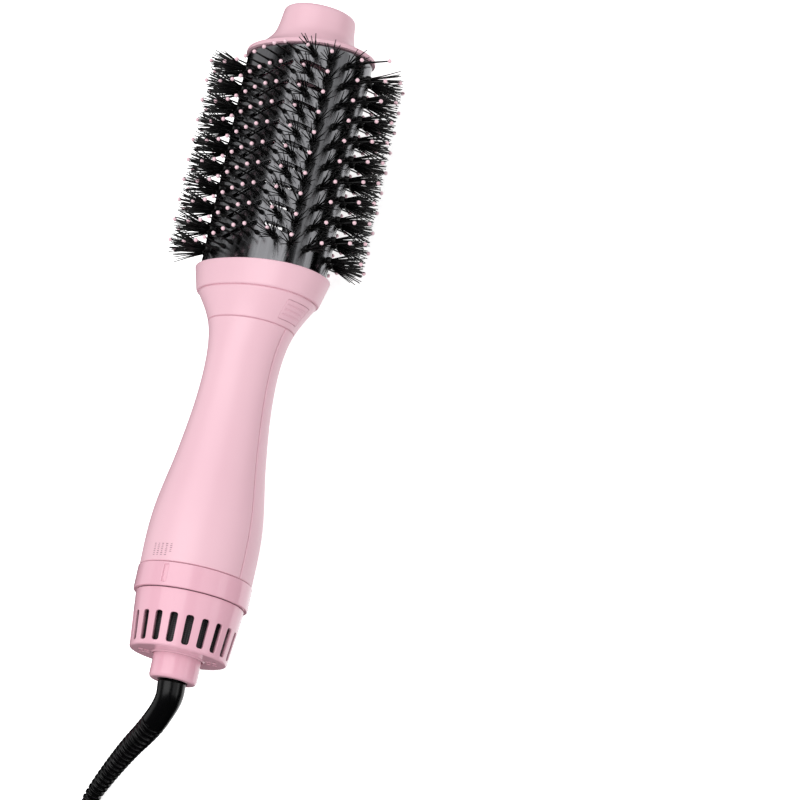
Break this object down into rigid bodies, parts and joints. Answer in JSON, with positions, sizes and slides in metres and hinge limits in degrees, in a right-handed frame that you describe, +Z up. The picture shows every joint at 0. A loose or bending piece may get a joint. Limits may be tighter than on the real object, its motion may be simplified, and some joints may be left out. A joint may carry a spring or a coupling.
{
  "type": "hot air brush",
  "caption": "Handheld hot air styling brush: oval vented bristle barrel with a cool tip on a waisted handle with a selector band, rear intake grille and swivel cord.",
  "frame": {"origin": "on the table, under the middle of the brush's box without its sleeve, cord and plug", "axes": "+Y along the brush from the tail to the cool tip, +X across the wide face of the oval head, +Z up from the table"},
  "size_m": [0.1367, 0.4945, 0.0756],
  "materials": {
    "pink_satin": "satin moulded ABS",
    "pink_gloss": "glossy moulded ABS",
    "pink_button": "satin with grip grooves",
    "barrel_black": "glossy ceramic-coated aluminium",
    "bristle_nylon": "nylon bristles",
    "black_plastic": "moulded",
    "cream_plastic": "moulded",
    "black_rubber": "soft black PVC",
    "filter_mesh": "woven mesh",
    "steel": "plain",
    "brass": "plain",
    "mica": "mica sheet",
    "nichrome": "oxidised wire",
    "board": "solder-masked board"
  },
  "bodies": {
    "handle": {"handle_top_shell": "pink_satin", "handle_bottom_shell": "pink_satin", "neck_ring": "pink_satin", "head_collar": "pink_satin", "tail_boss": "pink_gloss", "intake_grille": "pink_gloss", "switch_body": "black_plastic", "fan_duct": "black_plastic", "ioniser_module": "black_plastic", "outlet_nozzle": "black_plastic", "thermostat": "cream_plastic", "motor_mount": "black_rubber", "intake_filter": "filter_mesh", "handle_screw_left": "steel", "handle_screw_right": "steel", "swivel_retainer": "steel", "motor_body": "steel", "thermal_fuse": "steel", "release_spring_left": "steel", "release_spring_right": "steel", "heat_shield": "mica", "heater_board_wide": "mica", "heater_board_upper": "mica", "heater_board_lower": "mica", "heating_coil": "nichrome", "control_board": "board"},
    "selector": {"selector_band": "pink_gloss"},
    "switch_slider": {"switch_lever": "cream_plastic"},
    "fan": {"motor_shaft": "steel", "fan_impeller": "cream_plastic"},
    "release_left": {"release_button_left": "pink_button"},
    "release_right": {"release_button_right": "pink_button"},
    "head": {"head_base": "pink_satin", "barrel": "barrel_black", "air_guide": "black_plastic", "end_cap": "pink_satin", "bristle_row_01": "bristle_nylon", "bristle_row_02": "bristle_nylon", "bristle_row_03": "bristle_nylon", "bristle_row_04": "bristle_nylon", "bristle_row_05": "bristle_nylon", "bristle_row_06": "bristle_nylon", "bristle_row_07": "bristle_nylon", "bristle_row_08": "bristle_nylon", "bristle_row_09": "bristle_nylon", "bristle_row_10": "bristle_nylon"},
    "cord": {"swivel_bush": "black_plastic", "cord_sleeve": "black_rubber", "mains_cord": "black_rubber", "cord_coil": "black_rubber", "cord_end": "black_rubber", "plug_body": "black_rubber", "plug_blade_left": "brass", "plug_blade_right": "brass"}
  },
  "joints": [
    {"name": "selector_turn", "type": "hinge", "parent": "handle", "child": "selector", "pos_m": [0, -0.11563, 0.0264], "axis": [0, -0.9984, -0.0568], "range_deg": [0, 25]},
    {"name": "switch_slide", "type": "slide", "parent": "handle", "child": "switch_slider", "axis": [-1, 0, 0], "range_m": [0, 0.0086]},
    {"name": "fan_spin", "type": "hinge", "parent": "handle", "child": "fan", "pos_m": [0, -0.09167, 0.02777], "axis": [0, 0.9984, 0.0568], "continuous": true},
    {"name": "release_left_press", "type": "slide", "parent": "handle", "child": "release_left", "axis": [1, 0, 0], "range_m": [0, 0.002], "stiffness_N_per_m": 1200},
    {"name": "release_right_press", "type": "slide", "parent": "handle", "child": "release_right", "axis": [-1, 0, 0], "range_m": [0, 0.002], "stiffness_N_per_m": 1200},
    {"name": "head_pull_off", "type": "slide", "parent": "handle", "child": "head", "axis": [0, 0.9984, 0.0568], "range_m": [0, 0.04]},
    {"name": "cord_swivel", "type": "hinge", "parent": "handle", "child": "cord", "pos_m": [0, -0.15457, 0.02419], "axis": [0, 0.9984, 0.0568], "continuous": true}
  ],
  "couplings": [
    {"joint": "switch_slide", "follows": "selector_turn", "m_per_rad": 0.0195}
  ]
}
